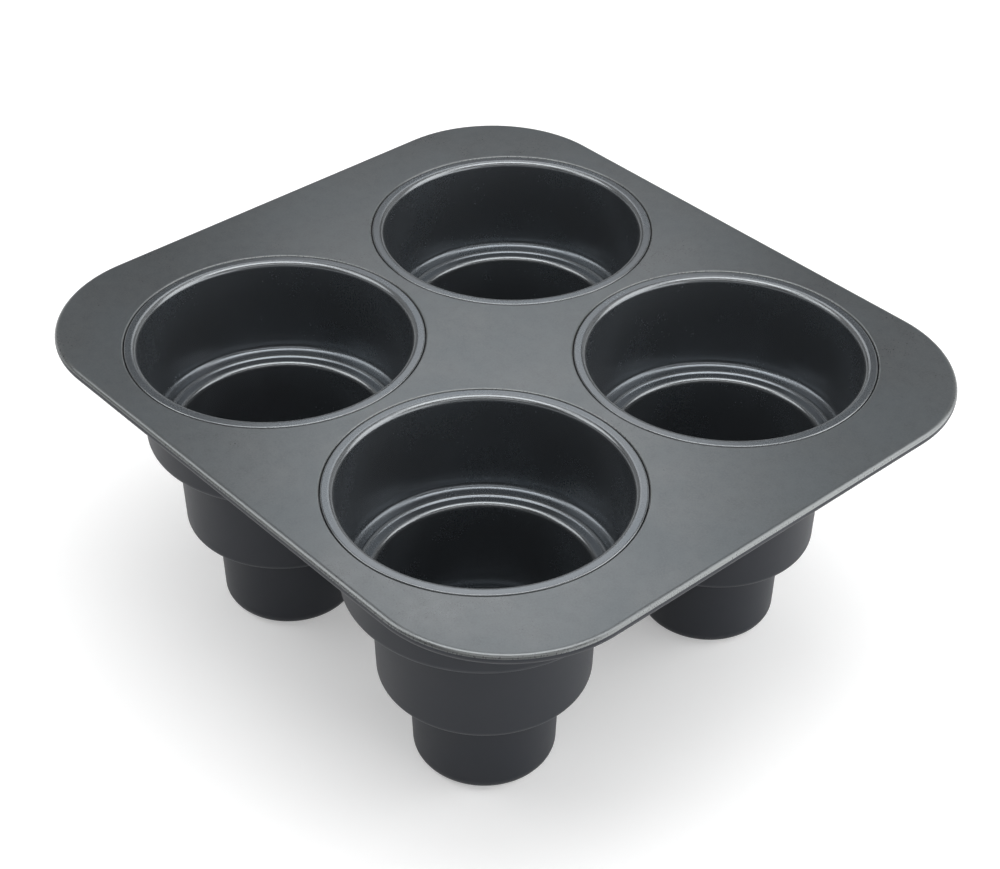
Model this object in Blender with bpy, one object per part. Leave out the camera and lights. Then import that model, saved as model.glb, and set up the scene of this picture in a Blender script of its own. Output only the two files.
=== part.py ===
"""A four-cup tiered cake pan in coated sheet steel.

A flat plate with a rolled, wire-stiffened rim carries four deep cups. Each cup steps down
through three tiers, each narrower than the one above, and is locked into its hole in the
plate by a folded seam, whose fine line rings the mouth. Lengths are in metres, Z is up,
and the pan stands on its cups at z = 0, centred on the origin.
"""
from math import atan2, cos, pi, radians, sin, tan

import bmesh
import bpy
from mathutils import Vector

MM = 0.001

# Sheet and fits
SHEET = 0.6 * MM  # thickness of the plate and the cups
PIECE_GAP = 0.3 * MM  # clearance between pieces that touch

# Cup tiers, with heights on the outside, radii and widths on the food side
TOP_TIER_HEIGHT = 40.5 * MM
MIDDLE_TIER_HEIGHT = 40.5 * MM
BOTTOM_TIER_HEIGHT = 39.5 * MM
MOUTH_RADIUS = 51.0 * MM
TOP_TIER_TAPER = 1.0 * MM  # how much smaller the tier's radius is at its floor
MIDDLE_TIER_TAPER = 1.2 * MM
BOTTOM_TIER_TAPER = 1.2 * MM
UPPER_LEDGE_WIDTH = 10.5 * MM
LOWER_LEDGE_WIDTH = 11.4 * MM
LEDGE_BEAD_HEIGHT = 0.8 * MM  # low stiffening bead that rings the middle of each ledge
LEDGE_BEAD_WIDTH = 2.4 * MM

# Inside radii of the cup's bends
TOP_FLOOR_BEND = 2.5 * MM
MIDDLE_FLOOR_BEND = 2.2 * MM
BOTTOM_FLOOR_BEND = 4.5 * MM
LEDGE_LIP_BEND = 1.4 * MM
MOUTH_BEND = 1.6 * MM

# Folded seam, where the cup's edge hooks under and round the plate's collar
MOUTH_FLAT = 1.65 * MM  # flat band between the mouth's bend and the seam's shoulder
SHOULDER_BEND = 0.2 * MM  # inside radius of both pieces' shoulders
HOOK_HEIGHT = 2.5 * MM
HOOK_HEADROOM = 1.2 * MM  # between the hook's end and the plate's underside

# Plate, with margins from a seam to the rim's outer edge
CUP_WEB = 5.6 * MM  # plate between neighbouring collars where they are closest
END_MARGIN = 24.9 * MM
SIDE_MARGIN = 11.9 * MM
CORNER_RADIUS = 52.0 * MM

# Rolled rim
RIM_WIRE_RADIUS = 1.1 * MM
CURL_ANGLE = radians(270.0)

# Facets
CUP_FACETS = 32
CORNER_FACETS = 8
CURL_FACETS = 6
BEND_FACETS = 2
WIRE_FACETS = 8
SMOOTH_ANGLE = radians(35.0)
MERGE_DISTANCE = 0.00001

# Finish of each kind of piece: colour, roughness and metallic value
PLATE_FINISH = ((0.115, 0.125, 0.130), 0.42, 0.55)
CUP_FINISH = ((0.085, 0.092, 0.098), 0.38, 0.55)
WIRE_FINISH = ((0.46, 0.46, 0.45), 0.35, 1.0)

# Places that follow from the sizes above
PAN_HEIGHT = TOP_TIER_HEIGHT + MIDDLE_TIER_HEIGHT + BOTTOM_TIER_HEIGHT
SHOULDER_RADIUS = SHOULDER_BEND + SHEET
CUP_LEG_FACE = MOUTH_RADIUS + MOUTH_BEND + SHEET + MOUTH_FLAT + SHOULDER_RADIUS
PLATE_LEG_FACE = CUP_LEG_FACE + PIECE_GAP
HOOK_INNER_FACE = PLATE_LEG_FACE + SHEET + PIECE_GAP
HOOK_FLOOR = PAN_HEIGHT - SHEET - HOOK_HEADROOM - HOOK_HEIGHT
PLATE_LEG_END = HOOK_FLOOR + PIECE_GAP
CUP_PITCH = 2.0 * PLATE_LEG_FACE + CUP_WEB
PLATE_HALF_LENGTH = CUP_PITCH / 2.0 + PLATE_LEG_FACE + END_MARGIN
PLATE_HALF_WIDTH = CUP_PITCH / 2.0 + PLATE_LEG_FACE + SIDE_MARGIN
CURL_BORE = RIM_WIRE_RADIUS + PIECE_GAP
CURL_RADIUS = CURL_BORE + SHEET
CUP_PLACES = {
    "cup_front_left": (-CUP_PITCH / 2.0, -CUP_PITCH / 2.0),
    "cup_front_right": (CUP_PITCH / 2.0, -CUP_PITCH / 2.0),
    "cup_back_left": (-CUP_PITCH / 2.0, CUP_PITCH / 2.0),
    "cup_back_right": (CUP_PITCH / 2.0, CUP_PITCH / 2.0),
}


def remove_all_objects():
    for item in list(bpy.data.objects):
        bpy.data.objects.remove(item, do_unlink=True)


def add_material(name, finish):
    colour, roughness, metallic = finish
    material = bpy.data.materials.new(name)
    material.use_nodes = True
    shader = material.node_tree.nodes["Principled BSDF"]
    shader.inputs["Base Color"].default_value = (*colour, 1.0)
    shader.inputs["Roughness"].default_value = roughness
    shader.inputs["Metallic"].default_value = metallic
    return material


def add_object(name, mesh, parent, place=(0.0, 0.0)):
    item = bpy.data.objects.new(name, mesh)
    item.parent = parent
    item.location = (*place, 0.0)
    bpy.context.collection.objects.link(item)
    return item


def arc_points(centre, radius, start, end, facets):
    """Points of an arc in a section plane, as (across, up) pairs."""
    angles = [start + (end - start) * step / facets for step in range(facets + 1)]
    return [(centre[0] + radius * cos(angle), centre[1] + radius * sin(angle)) for angle in angles]


def right_of(way):
    """Unit vector on the right-hand side of a way in the section plane."""
    return Vector((way.y, -way.x))


def bend_points(corner, bend, arrive, leave):
    """Food-side points of one corner of a sheet, each paired with the way through the sheet.

    bend is the inside radius. The sheet's back lies to the right of the path, so the food
    side is the inside of a left turn, with its centre on the left, and the outside of a
    right turn, where the radius is counted negative.
    """
    if bend == 0.0:
        return [(corner, (right_of(arrive) + right_of(leave)) / (1.0 + arrive.dot(leave)))]
    turn = atan2(arrive.cross(leave), arrive.dot(leave))
    radius = bend if turn > 0.0 else -(bend + SHEET)
    start = corner - arrive * abs(radius) * tan(abs(turn) / 2.0)
    centre = start - radius * right_of(arrive)
    heading = atan2(arrive.y, arrive.x)
    points = []
    for step in range(BEND_FACETS + 1):
        angle = heading + turn * step / BEND_FACETS
        normal = right_of(Vector((cos(angle), sin(angle))))
        points.append((centre + radius * normal, normal))
    return points


def sheet_outline(corners):
    """Closed outline of a bent sheet, along its food side and back along its other side.

    Each corner is (radius from the axis, height, inside bend radius).
    """
    spots = [Vector(corner[:2]) for corner in corners]
    ways = [(end - start).normalized() for start, end in zip(spots, spots[1:])]
    food_side = []
    back_side = []
    for spot, corner, arrive, leave in zip(spots, corners, ways[:1] + ways, ways + ways[-1:]):
        for point, normal in bend_points(spot, corner[2], arrive, leave):
            food_side.append(point)
            back_side.append(point + SHEET * normal)
    return food_side + back_side[::-1]


def ledge_bead(inner_radius, outer_radius, height):
    """Corners of the low bead in the middle of a ledge, from its inner side outwards."""
    middle = (inner_radius + outer_radius) / 2.0
    return [
        (middle - LEDGE_BEAD_WIDTH / 2.0, height, 0.0),
        (middle, height + LEDGE_BEAD_HEIGHT, 0.0),
        (middle + LEDGE_BEAD_WIDTH / 2.0, height, 0.0),
    ]


def cup_outline():
    """Section of a cup, from the centre of its floor up the food side to the seam and back."""
    top_floor_radius = MOUTH_RADIUS - TOP_TIER_TAPER
    middle_mouth_radius = top_floor_radius - UPPER_LEDGE_WIDTH
    middle_floor_radius = middle_mouth_radius - MIDDLE_TIER_TAPER
    bottom_mouth_radius = middle_floor_radius - LOWER_LEDGE_WIDTH
    bottom_floor_radius = bottom_mouth_radius - BOTTOM_TIER_TAPER
    lower_ledge = BOTTOM_TIER_HEIGHT + SHEET
    upper_ledge = lower_ledge + MIDDLE_TIER_HEIGHT
    return sheet_outline([
        (0.0, SHEET, 0.0),
        (bottom_floor_radius, SHEET, BOTTOM_FLOOR_BEND),
        (bottom_mouth_radius, lower_ledge, LEDGE_LIP_BEND),
        *ledge_bead(bottom_mouth_radius, middle_floor_radius, lower_ledge),
        (middle_floor_radius, lower_ledge, MIDDLE_FLOOR_BEND),
        (middle_mouth_radius, upper_ledge, LEDGE_LIP_BEND),
        *ledge_bead(middle_mouth_radius, top_floor_radius, upper_ledge),
        (top_floor_radius, upper_ledge, TOP_FLOOR_BEND),
        (MOUTH_RADIUS, PAN_HEIGHT, MOUTH_BEND),
        (CUP_LEG_FACE, PAN_HEIGHT, SHOULDER_BEND),
        (CUP_LEG_FACE, HOOK_FLOOR, 0.0),
        (HOOK_INNER_FACE, HOOK_FLOOR, 0.0),
        (HOOK_INNER_FACE, HOOK_FLOOR + HOOK_HEIGHT, 0.0),
    ])


def cup_profile_mesh(material):
    """The cup's section as a line of edges in the XZ plane, ready to be turned round Z."""
    points = [(radius, 0.0, height) for radius, height in cup_outline()]
    edges = [(index, index + 1) for index in range(len(points) - 1)]
    mesh = bpy.data.meshes.new("cup_profile")
    mesh.from_pydata(points, edges, [])
    mesh.materials.append(material)
    return mesh


def add_cup(name, place, mesh, parent):
    """A cup turned from the shared profile, standing at its place under the plate."""
    cup = add_object(name, mesh, parent, place)
    turn = cup.modifiers.new("turn", "SCREW")
    turn.axis = "Z"
    turn.angle = 2.0 * pi
    turn.steps = CUP_FACETS
    turn.render_steps = CUP_FACETS
    turn.use_merge_vertices = True
    turn.merge_threshold = MERGE_DISTANCE
    turn.use_smooth_shade = True
    return cup


def rim_loop(offset, height):
    """Rounded rectangle that lies outside the rim's outer edge by an offset."""
    radius = CORNER_RADIUS + offset
    x = PLATE_HALF_LENGTH - CORNER_RADIUS
    y = PLATE_HALF_WIDTH - CORNER_RADIUS
    points = []
    for quarter, centre in enumerate([(x, y), (-x, y), (-x, -y), (x, -y)]):
        start = quarter * pi / 2.0
        points += arc_points(centre, radius, start, start + pi / 2.0, CORNER_FACETS)
    return [(x, y, height) for x, y in points]


def collar_loop(place, radius, height):
    """Circle round a cup's axis, with its facets in step with the cup's own."""
    circle = arc_points(place, radius, 0.0, 2.0 * pi, CUP_FACETS)
    return [(x, y, height) for x, y in circle[:-1]]


def rim_section():
    """Section of the rolled rim, as (offset from the outer edge, height), out and back."""
    centre = (-CURL_RADIUS, PAN_HEIGHT - CURL_RADIUS)
    top = pi / 2.0
    end = top - CURL_ANGLE
    outside = arc_points(centre, CURL_RADIUS, top, end, CURL_FACETS)
    inside = arc_points(centre, CURL_BORE, end, top, CURL_FACETS)
    return outside + inside


def collar_section():
    """Section of a collar, as (radius, height), over its shoulder, down and back up."""
    bend_centre = (PLATE_LEG_FACE + SHOULDER_RADIUS, PAN_HEIGHT - SHOULDER_RADIUS)
    shoulder = arc_points(bend_centre, SHOULDER_RADIUS, pi / 2.0, pi, BEND_FACETS)
    leg_end = [(PLATE_LEG_FACE, PLATE_LEG_END), (PLATE_LEG_FACE + SHEET, PLATE_LEG_END)]
    underside = arc_points(bend_centre, SHOULDER_BEND, pi, pi / 2.0, BEND_FACETS)
    return shoulder + leg_end + underside


def skin_loops(mesh, loops, closed=False):
    """Add each loop's vertices and join every loop to the next with a band of quads."""
    rings = [[mesh.verts.new(point) for point in loop] for loop in loops]
    followers = rings[1:] + (rings[:1] if closed else [])
    for ring, following in zip(rings, followers):
        for index, vertex in enumerate(ring):
            neighbour = (index + 1) % len(ring)
            mesh.faces.new((vertex, ring[neighbour], following[neighbour], following[index]))
    return rings


def ring_edges(mesh, ring):
    """The edges of a closed ring of vertices."""
    return [mesh.edges.get((vertex, ring[index - 1])) for index, vertex in enumerate(ring)]


def finished_mesh(name, working, material):
    """Turn a bmesh into a smooth-shaded mesh with its faces pointing out."""
    bmesh.ops.recalc_face_normals(working, faces=working.faces)
    mesh = bpy.data.meshes.new(name)
    working.to_mesh(mesh)
    working.free()
    mesh.materials.append(material)
    mesh.shade_smooth()
    mesh.set_sharp_from_angle(angle=SMOOTH_ANGLE)
    return mesh


def add_plate(material, parent):
    """The plate: its rolled rim, a collar at each cup, and the two flats between them."""
    working = bmesh.new()
    rim = skin_loops(working, [rim_loop(offset, height) for offset, height in rim_section()])
    top_edges = ring_edges(working, rim[0])
    underside_edges = ring_edges(working, rim[-1])
    for place in CUP_PLACES.values():
        loops = [collar_loop(place, radius, height) for radius, height in collar_section()]
        collar = skin_loops(working, loops)
        top_edges += ring_edges(working, collar[0])
        underside_edges += ring_edges(working, collar[-1])
    for edges in (top_edges, underside_edges):
        bmesh.ops.triangle_fill(working, edges=edges, use_beauty=True)
    return add_object("tray_plate", finished_mesh("tray_plate", working, material), parent)


def add_rim_wire(material, parent):
    """The wire that the rim is rolled round, a closed loop in the curl's bore."""
    centre = (-CURL_RADIUS, PAN_HEIGHT - CURL_RADIUS)
    section = arc_points(centre, RIM_WIRE_RADIUS, 0.0, 2.0 * pi, WIRE_FACETS)[:-1]
    working = bmesh.new()
    skin_loops(working, [rim_loop(offset, height) for offset, height in section], closed=True)
    return add_object("rim_wire", finished_mesh("rim_wire", working, material), parent)


def build_pan():
    remove_all_objects()
    pan = bpy.data.objects.new("pan", None)
    bpy.context.collection.objects.link(pan)
    add_plate(add_material("plate_coating", PLATE_FINISH), pan)
    add_rim_wire(add_material("wire_steel", WIRE_FINISH), pan)
    cup_mesh = cup_profile_mesh(add_material("cup_coating", CUP_FINISH))
    for name, place in CUP_PLACES.items():
        add_cup(name, place, cup_mesh, pan)


build_pan()
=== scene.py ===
from math import atan2, ceil, cos, pi, radians, sin, tan

import bmesh
import bpy
from mathutils import Matrix, Vector


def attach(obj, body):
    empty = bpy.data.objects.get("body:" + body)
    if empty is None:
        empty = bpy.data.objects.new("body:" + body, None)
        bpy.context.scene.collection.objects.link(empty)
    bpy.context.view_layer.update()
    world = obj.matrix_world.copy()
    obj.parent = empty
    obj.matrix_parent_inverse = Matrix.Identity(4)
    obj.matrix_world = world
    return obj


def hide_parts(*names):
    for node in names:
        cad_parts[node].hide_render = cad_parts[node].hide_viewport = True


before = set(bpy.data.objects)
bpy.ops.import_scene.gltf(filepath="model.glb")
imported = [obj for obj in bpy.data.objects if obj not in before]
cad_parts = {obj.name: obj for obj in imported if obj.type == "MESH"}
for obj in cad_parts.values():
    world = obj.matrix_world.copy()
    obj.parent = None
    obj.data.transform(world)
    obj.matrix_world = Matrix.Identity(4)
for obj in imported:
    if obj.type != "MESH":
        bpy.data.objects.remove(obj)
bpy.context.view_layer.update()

MM = 0.001

# Sheet and fits
SHEET = 0.6 * MM
SEAM_GAP = 0.30 * MM  # between a cup's leg and the plate's collar round it
PLATE_TOP = 120.5 * MM

# Cup tiers, with heights on the outside, radii and widths on the food side
TOP_TIER_HEIGHT = 40.5 * MM
MIDDLE_TIER_HEIGHT = 40.5 * MM
BOTTOM_TIER_HEIGHT = 39.5 * MM
MOUTH_RADIUS = 51.0 * MM
TOP_TIER_TAPER = 1.0 * MM
MIDDLE_TIER_TAPER = 1.2 * MM
BOTTOM_TIER_TAPER = 1.2 * MM
UPPER_LEDGE_WIDTH = 10.5 * MM
LOWER_LEDGE_WIDTH = 11.4 * MM
LEDGE_BEAD_HEIGHT = 0.8 * MM
LEDGE_BEAD_WIDTH = 2.4 * MM
LEDGE_BEAD_BEND = 0.8 * MM

# Inside radii of the cup's bends
TOP_FLOOR_BEND = 2.5 * MM
MIDDLE_FLOOR_BEND = 2.2 * MM
BOTTOM_FLOOR_BEND = 4.5 * MM
LEDGE_LIP_BEND = 1.4 * MM
MOUTH_BEND = 1.6 * MM

# Folded seam round each mouth
SEAM_RADIUS = 55.8 * MM
SHOULDER_RADIUS = 0.55 * MM  # outside radius of the two bends at the seam's top
LEAST_BEND = 0.02 * MM  # least inside radius of those bends, so the cup's is 0.62 mm outside
COLLAR_CLEARANCE = 0.3 * MM  # between the collar's end and the hook's floor
HOOK_FLOOR_DEPTH = 4.3 * MM
HOOK_OUTER_RADIUS = 56.85 * MM
HOOK_HEIGHT = 2.5 * MM

# Plate and rolled rim
CUP_PITCH = 117.5 * MM
PLATE_HALF_LENGTH = 139.6 * MM
PLATE_HALF_WIDTH = 126.6 * MM
CORNER_RADIUS = 52.0 * MM
CURL_RADIUS = 2.0 * MM
CURL_BORE = 1.4 * MM
RIM_WIRE_RADIUS = 1.1 * MM
CURL_ANGLE = radians(270.0)

# Facets
CUP_FACETS = 160
CORNER_FACETS = 40
CURL_FACETS = 24
WIRE_FACETS = 16
SHOULDER_FACETS = 8
FACET_TURN = radians(9.0)
SUPPORT = 0.12 * MM  # distance of the extra points that keep flats flat beside their bends
SMOOTH_ANGLE = radians(40.0)

CUPS = {
    "cup_front_left": (-CUP_PITCH / 2.0, -CUP_PITCH / 2.0),
    "cup_front_right": (CUP_PITCH / 2.0, -CUP_PITCH / 2.0),
    "cup_back_left": (-CUP_PITCH / 2.0, CUP_PITCH / 2.0),
    "cup_back_right": (CUP_PITCH / 2.0, CUP_PITCH / 2.0),
}


# Camera, placed by fitting it and the pan to the photograph together
CAMERA_TARGET = Vector((40.709, -35.724, 120.5)) * MM
CAMERA_DISTANCE = 746.518 * MM
CAMERA_AZIMUTH = radians(-41.8308)
CAMERA_ELEVATION = radians(37.2406)
CAMERA_ROLL = radians(0.3534)
CAMERA_FOCAL_PIXELS = 2141.858
PICTURE_WIDTH = 1000.0
SENSOR_WIDTH = 36.0
CAMERA_CLIP = (0.01, 50.0)


def add_camera():
    back = Vector((
        cos(CAMERA_AZIMUTH) * cos(CAMERA_ELEVATION),
        sin(CAMERA_AZIMUTH) * cos(CAMERA_ELEVATION),
        sin(CAMERA_ELEVATION),
    ))
    level = Vector((0.0, 0.0, 1.0)).cross(back).normalized()
    upright = back.cross(level)
    right = level * cos(CAMERA_ROLL) + upright * sin(CAMERA_ROLL)
    up = upright * cos(CAMERA_ROLL) - level * sin(CAMERA_ROLL)
    turn = Matrix((right, up, back)).transposed()
    data = bpy.data.cameras.new("camera")
    data.sensor_fit = "HORIZONTAL"
    data.sensor_width = SENSOR_WIDTH
    data.lens = CAMERA_FOCAL_PIXELS / PICTURE_WIDTH * SENSOR_WIDTH
    data.clip_start, data.clip_end = CAMERA_CLIP
    camera = bpy.data.objects.new("camera", data)
    camera.matrix_world = Matrix.Translation(CAMERA_TARGET + back * CAMERA_DISTANCE) @ turn.to_4x4()
    bpy.context.collection.objects.link(camera)
    bpy.context.scene.camera = camera


def arc_points(centre, radius, start, end, facets):
    angles = [start + (end - start) * step / facets for step in range(facets + 1)]
    return [(centre[0] + radius * cos(a), centre[1] + radius * sin(a)) for a in angles]


def right_of(way):
    return Vector((way.y, -way.x))


def bend_points(corner, bend, arrive, leave):
    """Food-side points of a corner, with their normals through the sheet and how much each is
    lightened, partly as wear and partly as a painted highlight on the crest.
    """
    turn = atan2(arrive.cross(leave), arrive.dot(leave))
    if bend == 0.0:
        return [(corner, (right_of(arrive) + right_of(leave)) / (1.0 + arrive.dot(leave)), 0.0)]
    radius = bend if turn > 0.0 else -(bend + SHEET)
    start = corner - arrive * abs(radius) * tan(abs(turn) / 2.0)
    finish = corner + leave * abs(radius) * tan(abs(turn) / 2.0)
    centre = start - radius * right_of(arrive)
    heading = atan2(arrive.y, arrive.x)
    facets = max(2, ceil(abs(turn) / FACET_TURN))
    points = [(start - arrive * SUPPORT, right_of(arrive), 0.0)]
    for step in range(facets + 1):
        angle = heading + turn * step / facets
        normal = right_of(Vector((cos(angle), sin(angle))))
        # Convex bends are lightened most at their middle: partly rubbed wear, partly a painted
        # highlight on the crest.
        worn_and_sheen = sin(pi * step / facets) if turn < 0.0 else 0.0
        points.append((centre + radius * normal, normal, worn_and_sheen))
    points.append((finish + leave * SUPPORT, right_of(leave), 0.0))
    return points


def sheet_outline(corners):
    spots = [Vector(corner[:2]) for corner in corners]
    ways = [(end - start).normalized() for start, end in zip(spots, spots[1:])]
    food_side = []
    back_side = []
    for spot, corner, arrive, leave in zip(spots, corners, ways[:1] + ways, ways + ways[-1:]):
        for point, normal, worn_and_sheen in bend_points(spot, corner[2], arrive, leave):
            food_side.append((point, worn_and_sheen))
            back_side.append((point + SHEET * normal, 0.0))
    return food_side + back_side[::-1]


def ledge_bead(inner_radius, outer_radius, height):
    middle = (inner_radius + outer_radius) / 2.0
    return [
        (middle - LEDGE_BEAD_WIDTH / 2.0, height, LEDGE_BEAD_BEND),
        (middle, height + LEDGE_BEAD_HEIGHT, LEDGE_BEAD_BEND),
        (middle + LEDGE_BEAD_WIDTH / 2.0, height, LEDGE_BEAD_BEND),
    ]


def cup_outline():
    top_floor_radius = MOUTH_RADIUS - TOP_TIER_TAPER
    middle_mouth_radius = top_floor_radius - UPPER_LEDGE_WIDTH
    middle_floor_radius = middle_mouth_radius - MIDDLE_TIER_TAPER
    bottom_mouth_radius = middle_floor_radius - LOWER_LEDGE_WIDTH
    bottom_floor_radius = bottom_mouth_radius - BOTTOM_TIER_TAPER
    lower_ledge = BOTTOM_TIER_HEIGHT + SHEET
    upper_ledge = lower_ledge + MIDDLE_TIER_HEIGHT
    leg_face = SEAM_RADIUS - SEAM_GAP / 2.0
    hook_floor = PLATE_TOP - HOOK_FLOOR_DEPTH
    return sheet_outline([
        (0.0, SHEET, 0.0),
        (bottom_floor_radius, SHEET, BOTTOM_FLOOR_BEND),
        (bottom_mouth_radius, lower_ledge, LEDGE_LIP_BEND),
        *ledge_bead(bottom_mouth_radius, middle_floor_radius, lower_ledge),
        (middle_floor_radius, lower_ledge, MIDDLE_FLOOR_BEND),
        (middle_mouth_radius, upper_ledge, LEDGE_LIP_BEND),
        *ledge_bead(middle_mouth_radius, top_floor_radius, upper_ledge),
        (top_floor_radius, upper_ledge, TOP_FLOOR_BEND),
        (MOUTH_RADIUS, PLATE_TOP, MOUTH_BEND),
        (leg_face, PLATE_TOP, max(LEAST_BEND, SHOULDER_RADIUS - SHEET)),
        (leg_face, hook_floor, 0.0),
        (HOOK_OUTER_RADIUS, hook_floor, 0.0),
        (HOOK_OUTER_RADIUS, hook_floor + HOOK_HEIGHT, 0.0),
    ])


def skin_loops(mesh, loops, worn_and_sheen, layer, closed=False, backs=()):
    """Join loops with bands of quads; bands whose index is in backs get the second finish."""
    rings = []
    for loop, wear_and_sheen in zip(loops, worn_and_sheen):
        ring = [mesh.verts.new(point) for point in loop]
        for vertex in ring:
            vertex[layer] = wear_and_sheen
        rings.append(ring)
    followers = rings[1:] + (rings[:1] if closed else [])
    for band, (ring, following) in enumerate(zip(rings, followers)):
        for index, vertex in enumerate(ring):
            neighbour = (index + 1) % len(ring)
            face = mesh.faces.new((vertex, ring[neighbour], following[neighbour], following[index]))
            face.material_index = int(band in backs)
    return rings


def circle_loop(place, radius, height):
    circle = arc_points(place, radius, 0.0, 2.0 * pi, CUP_FACETS)
    return [(x, y, height) for x, y in circle[:-1]]


def rim_loop(offset, height):
    radius = CORNER_RADIUS + offset
    x = PLATE_HALF_LENGTH - CORNER_RADIUS
    y = PLATE_HALF_WIDTH - CORNER_RADIUS
    points = []
    for quarter, centre in enumerate([(x, y), (-x, y), (-x, -y), (x, -y)]):
        start = quarter * pi / 2.0
        points += arc_points(centre, radius, start, start + pi / 2.0, CORNER_FACETS)
    return [(x, y, height) for x, y in points]


def ring_edges(mesh, ring):
    return [mesh.edges.get((vertex, ring[index - 1])) for index, vertex in enumerate(ring)]


def finished_object(name, working, *materials):
    bmesh.ops.recalc_face_normals(working, faces=working.faces)
    mesh = bpy.data.meshes.new(name)
    working.to_mesh(mesh)
    working.free()
    for material in materials:
        mesh.materials.append(material)
    mesh.shade_smooth()
    mesh.set_sharp_from_angle(angle=SMOOTH_ANGLE)
    item = bpy.data.objects.new(name, mesh)
    bpy.context.collection.objects.link(item)
    return item


def new_working_mesh():
    working = bmesh.new()
    # The float layer holds how much each point is lightened: partly rubbed wear, partly a painted
    # highlight.
    return working, working.verts.layers.float.new("wear_and_sheen")


def add_cup(name, place, food_side, outside):
    working, layer = new_working_mesh()
    outline = cup_outline()
    middle = outline[1:-1]
    loops = [circle_loop(place, point[0], point[1]) for point, worn_and_sheen in middle]
    backs = range(len(middle) // 2, len(middle))
    rings = skin_loops(working, loops, [worn_and_sheen for point, worn_and_sheen in middle], layer, backs=backs)
    for side, (point, ring) in enumerate(((outline[0][0], rings[0]), (outline[-1][0], rings[-1]))):
        centre = working.verts.new((*place, point[1]))
        for index, vertex in enumerate(ring):
            face = working.faces.new((centre, vertex, ring[index - 1]))
            face.material_index = side
    return finished_object(name, working, food_side, outside)


def rim_section():
    centre = (-CURL_RADIUS, PLATE_TOP - CURL_RADIUS)
    top = pi / 2.0
    end = top - CURL_ANGLE
    outside = arc_points(centre, CURL_RADIUS, top, end, CURL_FACETS)
    inside = arc_points(centre, CURL_BORE, end, top, CURL_FACETS)
    # The curl's upper half is lightened: partly rubbed wear, partly a painted highlight along the
    # rim's top.
    worn_and_sheen = [max(0.0, sin(pi * min(1.0, 2.0 * step / CURL_FACETS))) for step in range(CURL_FACETS + 1)]
    start = [(-CURL_RADIUS - SUPPORT, PLATE_TOP)]
    last = [(-CURL_RADIUS - SUPPORT, PLATE_TOP - SHEET)]
    return start + outside + inside + last, [0.0] + worn_and_sheen + [0.0] * (len(inside) + 1)


def collar_section():
    leg = SEAM_RADIUS + SEAM_GAP / 2.0
    inner = max(LEAST_BEND, SHOULDER_RADIUS - SHEET)
    bend_centre = (leg + SHOULDER_RADIUS, PLATE_TOP - SHOULDER_RADIUS)
    end = PLATE_TOP - HOOK_FLOOR_DEPTH + COLLAR_CLEARANCE
    shoulder = arc_points(bend_centre, SHOULDER_RADIUS, pi / 2.0, pi, SHOULDER_FACETS)
    under = (leg + SHEET, PLATE_TOP - SHEET)
    points = [(shoulder[0][0] + SUPPORT, PLATE_TOP)]
    points += shoulder
    points += [(leg, end), (leg + SHEET, end), under, (under[0] + SUPPORT + inner, under[1])]
    # The collar's shoulder is lightened along its crest: partly rubbed wear, partly a painted
    # highlight.
    crest = [sin(pi * step / SHOULDER_FACETS) for step in range(SHOULDER_FACETS + 1)]
    worn_and_sheen = [0.0] + crest + [0.0] * (len(points) - len(crest) - 1)
    return points, worn_and_sheen


def add_plate(food_side, outside):
    working, layer = new_working_mesh()
    section, worn_and_sheen = rim_section()
    backs = range(1 + CURL_FACETS // 4, len(section))
    rim = skin_loops(working, [rim_loop(*point) for point in section], worn_and_sheen, layer, backs=backs)
    top_edges = ring_edges(working, rim[0])
    underside_edges = ring_edges(working, rim[-1])
    section, worn_and_sheen = collar_section()
    collar_end = SHOULDER_FACETS + 2
    for place in CUPS.values():
        loops = [circle_loop(place, radius, height) for radius, height in section]
        collar = skin_loops(working, loops, worn_and_sheen, layer, backs=range(collar_end, len(loops)))
        top_edges += ring_edges(working, collar[0])
        underside_edges += ring_edges(working, collar[-1])
    for side, edges in enumerate((top_edges, underside_edges)):
        filled = bmesh.ops.triangle_fill(working, edges=edges, use_beauty=True)
        for item in filled["geom"]:
            if isinstance(item, bmesh.types.BMFace):
                item.material_index = side
    return finished_object("plate_sheet", working, food_side, outside)


def add_wire(material):
    working, layer = new_working_mesh()
    centre = (-CURL_RADIUS, PLATE_TOP - CURL_RADIUS)
    section = arc_points(centre, RIM_WIRE_RADIUS, 0.0, 2.0 * pi, WIRE_FACETS)[:-1]
    loops = [rim_loop(*point) for point in section]
    skin_loops(working, loops, [0.0] * len(loops), layer, closed=True)
    return finished_object("rim_rod", working, material)


# Coating. A noise has its repeats in a metre, its detail and its roughness. Ranges are the part
# of a pattern that is used. Contrast, factors and shares act on the colour, gloss values on the
# roughness and strengths on the bump, whose depths are in metres.
SPECKLE_NOISE = (1500.0, 3.0, 0.65)
PEEL_NOISE = (520.0, 2.0, 0.5)
BLOTCH_NOISE = (230.0, 3.0, 0.6)
MOTTLE_NOISE = (28.0, 4.0, 0.6)
WAVE_NOISE = (9.0, 2.0, 0.5)
FLAKE_SCALE = 1900.0
NOISE_RANGE = (0.3, 0.7)
COOL_RANGE = (0.35, 0.65)
RUBBED_AND_SHEEN_RANGE = (0.35, 0.7)
FLAKE_RANGE = (0.08, 0.22)
SPECKLE_CONTRAST = 0.18
BLOTCH_SHARE = 0.7
COOL_FACTORS = (0.90, 1.0, 1.06)
COOL_SHARE = 0.35
FLAKE_FACTOR = 2.0
FLAKE_SHARE = 0.28
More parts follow.
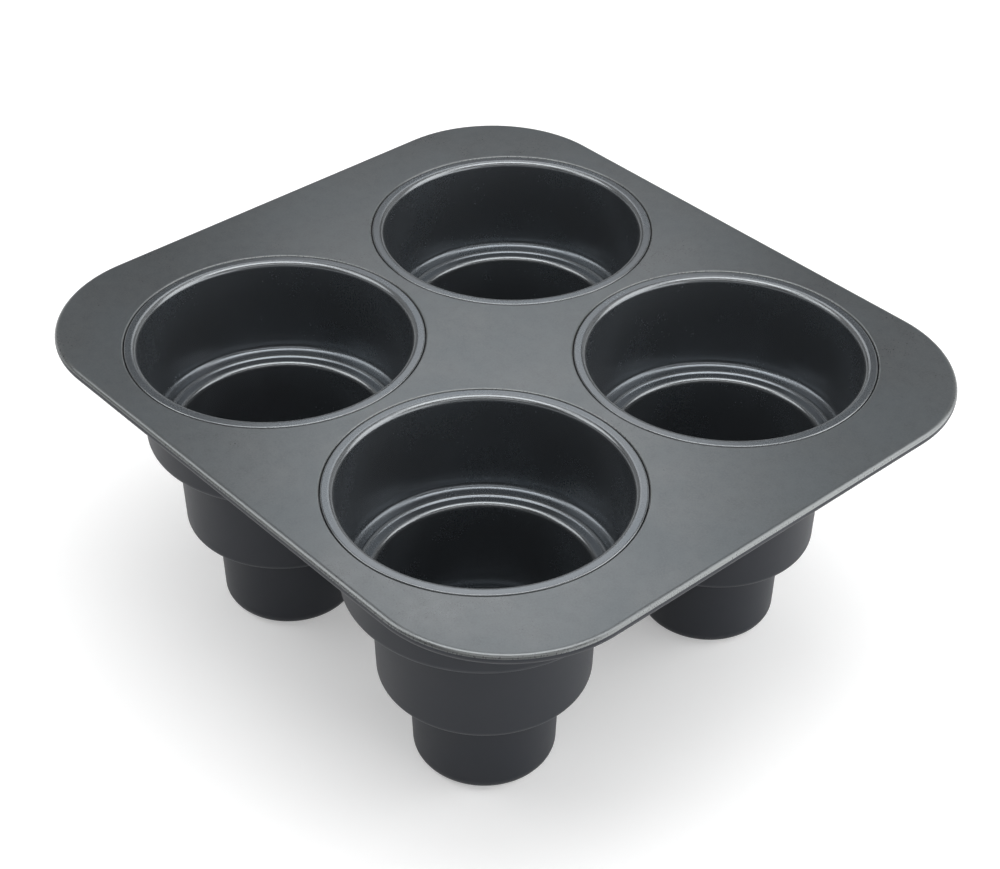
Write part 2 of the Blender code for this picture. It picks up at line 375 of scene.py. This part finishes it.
# Crests are lighter and more neutral: partly real wear, partly a painted highlight on the bends'
# crests.
RUBBED_AND_SHEEN_FACTORS = (2.0, 1.9, 1.76)
RUBBED_AND_SHEEN_SHARE = (0.34, 0.58)
MOTTLE_GLOSS = 0.03
SPECKLE_GLOSS = 0.035
RUBBED_GLOSS = 0.08
WAVE_STRENGTH = 0.25
WAVE_DEPTH = 0.0004
PEEL_STRENGTH = 0.16
PEEL_DEPTH = 0.00006
SPECKLE_STRENGTH = 0.22
SPECKLE_DEPTH = 0.00003

# Wire
PATCH_NOISE = (60.0, 4.0, 0.6)
WIRE_GRAIN_NOISE = (2500.0, 2.0, 0.5)
PATCH_RANGE = (0.35, 0.65)
DULL_FACTOR = 0.72
BRIGHT_GLOSS = -0.06
DULL_GLOSS = 0.1
WIRE_GRAIN_STRENGTH = 0.2
WIRE_GRAIN_DEPTH = 0.00002

# Floor. Its own light shows only to the camera, in reflections and through glass.
FLOOR_HALF = 12.0
FLOOR_COLOUR = (0.80, 0.80, 0.80)
FLOOR_GRAIN_NOISE = (220.0, 3.0, 0.5)
FLOOR_GRAIN_FACTOR = 0.985
FLOOR_ROUGHNESS = 0.9
FLOOR_SPECULAR = 0.1
GLOW_DISTANCES = (0.60, 2.50)  # from the pan's centre
GLOW_STRENGTHS = (0.33, 1.00)

# Sky, by the height of its direction: 0 at the horizon and 1 overhead
SKY_COLOUR = (0.97, 0.985, 1.0)
HORIZON_LIGHT = 0.9
ZENITH_LIGHT = 0.0
BAND_TOP = 0.14
DARK_FROM = 0.30

# Lamps. Their directions in the floor plane: away from the photograph's camera, and to its right
AWAY = Vector((-0.745, 0.667, 0.0))
RIGHT = Vector((0.667, 0.745, 0.0))
PAN_CENTRE = Vector((0.0, 0.0, 0.1))
SOFTBOXES = (  # name; place away, right and up from the pan's centre; size; radiance
    ("front_top_softbox", (-0.85, 0.0, 0.85), (1.2, 0.35), 1.8),
    ("key_softbox", (-0.2, 0.0, 1.2), (1.3, 0.35), 5.0),
    ("top_softbox", (0.1, 0.0, 1.2), (1.3, 0.35), 3.0),
    ("back_top_softbox", (0.4, 0.0, 0.75), (0.5, 0.5), 0.8),
    ("back_softbox", (0.6, 0.0, 0.58), (0.35, 0.40), 1.9),
    ("back_right_softbox", (0.6, 0.5, 0.5), (0.45, 0.5), 0.5),
    ("back_left_softbox", (0.6, -0.5, 0.5), (0.45, 0.5), 0.4),
    ("left_softbox", (0.0, -0.7, 0.65), (0.6, 0.5), 3.0),
    ("right_softbox", (0.0, 0.7, 0.65), (0.6, 0.5), 3.1),
    ("front_right_softbox", (-0.55, 0.7, 0.30), (0.6, 0.5), 1.7),
    ("low_right_softbox", (0.0, 0.9, 0.2), (0.7, 0.6), 2.2),
)


class Nodes:
    """Short names for adding and joining shader nodes."""

    # Places of the colours among a Mix node's inputs and outputs
    MIX_INPUTS = (6, 7)
    MIX_OUTPUT = 2

    def __init__(self, name):
        self.material = bpy.data.materials.new(name)
        self.material.use_nodes = True
        self.tree = self.material.node_tree
        self.shader = self.tree.nodes["Principled BSDF"]

    def add(self, kind, **values):
        node = self.tree.nodes.new(kind)
        for key, value in values.items():
            setattr(node, key, value)
        return node

    def link(self, source, target):
        self.tree.links.new(source, target)

    def noise(self, where, scale, detail, rough):
        node = self.add("ShaderNodeTexNoise")
        node.inputs["Scale"].default_value = scale
        node.inputs["Detail"].default_value = detail
        node.inputs["Roughness"].default_value = rough
        self.link(where, node.inputs["Vector"])
        return node.outputs["Fac"]

    def spread(self, value, low, high, new_low, new_high):
        node = self.add("ShaderNodeMapRange", clamp=True)
        self.link(value, node.inputs["Value"])
        node.inputs["From Min"].default_value = low
        node.inputs["From Max"].default_value = high
        node.inputs["To Min"].default_value = new_low
        node.inputs["To Max"].default_value = new_high
        return node.outputs["Result"]

    def maths(self, operation, first, second):
        node = self.add("ShaderNodeMath", operation=operation)
        for socket, value in zip(node.inputs, (first, second)):
            if isinstance(value, float):
                socket.default_value = value
            else:
                self.link(value, socket)
        return node.outputs["Value"]

    def blend(self, factor, first, second):
        node = self.add("ShaderNodeMix", data_type="RGBA")
        self.link(factor, node.inputs["Factor"])
        for index, value in zip(self.MIX_INPUTS, (first, second)):
            socket = node.inputs[index]
            if isinstance(value, tuple):
                socket.default_value = (*value, 1.0)
            else:
                self.link(value, socket)
        return node.outputs[self.MIX_OUTPUT]

    def bump(self, height, strength, distance, under=None):
        node = self.add("ShaderNodeBump")
        node.inputs["Strength"].default_value = strength
        node.inputs["Distance"].default_value = distance
        self.link(height, node.inputs["Height"])
        if under is not None:
            self.link(under, node.inputs["Normal"])
        return node.outputs["Normal"]


def scaled(colour, *factors):
    """A colour times one factor, or times three factors, one a channel."""
    if len(factors) == 1:
        factors *= len(colour)
    return tuple(value * factor for value, factor in zip(colour, factors))


def coating(name, colour, roughness, metallic, grain, specular):
    """Sprayed non-stick coating: fine speckle, orange peel, slow mottling and rubbed crests, lightened
    partly as wear and partly as a painted highlight.
    """
    n = Nodes(name)
    where = n.add("ShaderNodeTexCoord").outputs["Object"]
    speckle = n.noise(where, *SPECKLE_NOISE)
    peel = n.noise(where, *PEEL_NOISE)
    blotches = n.noise(where, *BLOTCH_NOISE)
    mottle = n.noise(where, *MOTTLE_NOISE)
    waves = n.noise(where, *WAVE_NOISE)
    flakes = n.add("ShaderNodeTexVoronoi")
    flakes.inputs["Scale"].default_value = FLAKE_SCALE
    n.link(where, flakes.inputs["Vector"])
    flake = n.spread(flakes.outputs["Distance"], *FLAKE_RANGE, 1.0, 0.0)

    darker = scaled(colour, 1.0 - SPECKLE_CONTRAST * grain)
    lighter = scaled(colour, 1.0 + SPECKLE_CONTRAST * grain)
    tint = n.blend(n.spread(speckle, *NOISE_RANGE, 0.0, 1.0), darker, lighter)
    tint = n.blend(n.spread(blotches, *NOISE_RANGE, 0.0, BLOTCH_SHARE * grain), tint, lighter)
    cool = scaled(colour, *COOL_FACTORS)
    tint = n.blend(n.spread(mottle, *COOL_RANGE, 0.0, COOL_SHARE), tint, cool)
    tint = n.blend(n.maths("MULTIPLY", flake, FLAKE_SHARE * grain), tint, scaled(colour, FLAKE_FACTOR))
    # Crests lightened through the point layer: partly rubbed wear, partly a painted highlight.
    wear_and_sheen = n.add("ShaderNodeAttribute", attribute_name="wear_and_sheen").outputs["Fac"]
    rubbed_and_sheen = n.maths("MULTIPLY", wear_and_sheen, n.spread(mottle, *RUBBED_AND_SHEEN_RANGE, *RUBBED_AND_SHEEN_SHARE))
    tint = n.blend(rubbed_and_sheen, tint, scaled(colour, *RUBBED_AND_SHEEN_FACTORS))
    n.link(tint, n.shader.inputs["Base Color"])

    gloss = n.spread(mottle, *NOISE_RANGE, roughness - MOTTLE_GLOSS, roughness + MOTTLE_GLOSS)
    fine_gloss = n.spread(speckle, *NOISE_RANGE, -SPECKLE_GLOSS * grain, SPECKLE_GLOSS * grain)
    gloss = n.maths("ADD", gloss, fine_gloss)
    gloss = n.maths("SUBTRACT", gloss, n.maths("MULTIPLY", rubbed_and_sheen, RUBBED_GLOSS))
    n.link(gloss, n.shader.inputs["Roughness"])

    normal = n.bump(waves, WAVE_STRENGTH, WAVE_DEPTH)
    normal = n.bump(peel, PEEL_STRENGTH * grain, PEEL_DEPTH, normal)
    normal = n.bump(speckle, SPECKLE_STRENGTH * grain, SPECKLE_DEPTH, normal)
    n.link(normal, n.shader.inputs["Normal"])
    n.shader.inputs["Metallic"].default_value = metallic
    n.shader.inputs["Specular IOR Level"].default_value = specular
    return n.material


def drawn_wire(name, colour, roughness):
    """Bright drawn wire, with a fine grain and dull patches."""
    n = Nodes(name)
    where = n.add("ShaderNodeTexCoord").outputs["Object"]
    patches = n.noise(where, *PATCH_NOISE)
    grain = n.noise(where, *WIRE_GRAIN_NOISE)
    tint = n.blend(n.spread(patches, *PATCH_RANGE, 0.0, 1.0), colour, scaled(colour, DULL_FACTOR))
    n.link(tint, n.shader.inputs["Base Color"])
    gloss = n.spread(patches, *NOISE_RANGE, roughness + BRIGHT_GLOSS, roughness + DULL_GLOSS)
    n.link(gloss, n.shader.inputs["Roughness"])
    n.link(n.bump(grain, WIRE_GRAIN_STRENGTH, WIRE_GRAIN_DEPTH), n.shader.inputs["Normal"])
    n.shader.inputs["Metallic"].default_value = 1.0
    return n.material


def floor_material():
    """A pale floor that shows white far from the object and keeps its shadow near it."""
    n = Nodes("studio_floor")
    where = n.add("ShaderNodeTexCoord").outputs["Object"]
    grain = n.noise(where, *FLOOR_GRAIN_NOISE)
    grains = n.spread(grain, *NOISE_RANGE, 0.0, 1.0)
    tone = n.blend(grains, FLOOR_COLOUR, scaled(FLOOR_COLOUR, FLOOR_GRAIN_FACTOR))
    n.link(tone, n.shader.inputs["Base Color"])
    n.shader.inputs["Roughness"].default_value = FLOOR_ROUGHNESS
    n.shader.inputs["Specular IOR Level"].default_value = FLOOR_SPECULAR
    length = n.add("ShaderNodeVectorMath", operation="LENGTH")
    n.link(where, length.inputs[0])
    glow = n.spread(length.outputs["Value"], *GLOW_DISTANCES, *GLOW_STRENGTHS)
    path = n.add("ShaderNodeLightPath")
    seen = n.maths("MAXIMUM", path.outputs["Is Camera Ray"], path.outputs["Is Glossy Ray"])
    seen = n.maths("MAXIMUM", seen, path.outputs["Is Transmission Ray"])
    n.shader.inputs["Emission Color"].default_value = (1.0, 1.0, 1.0, 1.0)
    n.link(n.maths("MULTIPLY", glow, seen), n.shader.inputs["Emission Strength"])
    return n.material


def add_floor():
    mesh = bpy.data.meshes.new("studio_floor")
    sides = ((-1.0, -1.0), (1.0, -1.0), (1.0, 1.0), (-1.0, 1.0))
    corners = [(x * FLOOR_HALF, y * FLOOR_HALF, 0.0) for x, y in sides]
    mesh.from_pydata(corners, [], [(0, 1, 2, 3)])
    mesh.materials.append(floor_material())
    floor = bpy.data.objects.new("studio_floor", mesh)
    bpy.context.collection.objects.link(floor)


def add_world():
    """A band of light along the horizon, which fades to dark above it."""
    world = bpy.data.worlds.new("studio")
    bpy.context.scene.world = world
    world.use_nodes = True
    tree = world.node_tree
    light = tree.nodes["Background"]
    light.inputs["Color"].default_value = (*SKY_COLOUR, 1.0)
    where = tree.nodes.new("ShaderNodeTexCoord")
    split = tree.nodes.new("ShaderNodeSeparateXYZ")
    tree.links.new(where.outputs["Generated"], split.inputs[0])
    fade = tree.nodes.new("ShaderNodeMapRange")
    fade.inputs["From Min"].default_value = BAND_TOP
    fade.inputs["From Max"].default_value = DARK_FROM
    fade.inputs["To Min"].default_value = HORIZON_LIGHT
    fade.inputs["To Max"].default_value = ZENITH_LIGHT
    tree.links.new(split.outputs["Z"], fade.inputs["Value"])
    tree.links.new(fade.outputs["Result"], light.inputs["Strength"])


def from_pan(away, right, up):
    return PAN_CENTRE + away * AWAY + right * RIGHT + Vector((0.0, 0.0, up))


def add_softbox(name, place, size, radiance):
    """A rectangular lamp that faces the pan, whose face has the given radiance."""
    data = bpy.data.lights.new(name, "AREA")
    data.shape = "RECTANGLE"
    data.size, data.size_y = size
    data.energy = radiance * pi * size[0] * size[1]
    lamp = bpy.data.objects.new(name, data)
    lamp.location = place
    lamp.rotation_mode = "QUATERNION"
    lamp.rotation_quaternion = (PAN_CENTRE - place).to_track_quat("-Z", "Y")
    lamp.visible_camera = False
    bpy.context.collection.objects.link(lamp)


add_camera()
plate_coating = coating(
    "plate_coating", (0.112, 0.120, 0.125), roughness=0.32, metallic=0.70, grain=1.0, specular=0.6)
cup_coating = coating(
    "cup_coating", (0.127, 0.137, 0.148), roughness=0.26, metallic=0.75, grain=0.35, specular=0.6)
outside_coating = coating(
    "outside_coating", (0.0165, 0.0188, 0.0245), roughness=0.50, metallic=0.0, grain=0.6, specular=0.3)
wire_steel = drawn_wire("wire_steel", (0.46, 0.46, 0.45), roughness=0.35)

plate = add_plate(plate_coating, outside_coating)
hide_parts("tray_plate")
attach(plate, "root")
wire = add_wire(wire_steel)
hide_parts("rim_wire")
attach(wire, "root")
for cup_name, cup_place in CUPS.items():
    cup = add_cup(cup_name + "_shell", cup_place, cup_coating, outside_coating)
    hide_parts(cup_name)
    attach(cup, "root")

add_floor()
add_world()
for lamp_name, spot, face, radiance in SOFTBOXES:
    add_softbox(lamp_name, from_pan(*spot), face, radiance)
bpy.context.scene.view_settings.view_transform = "Standard"
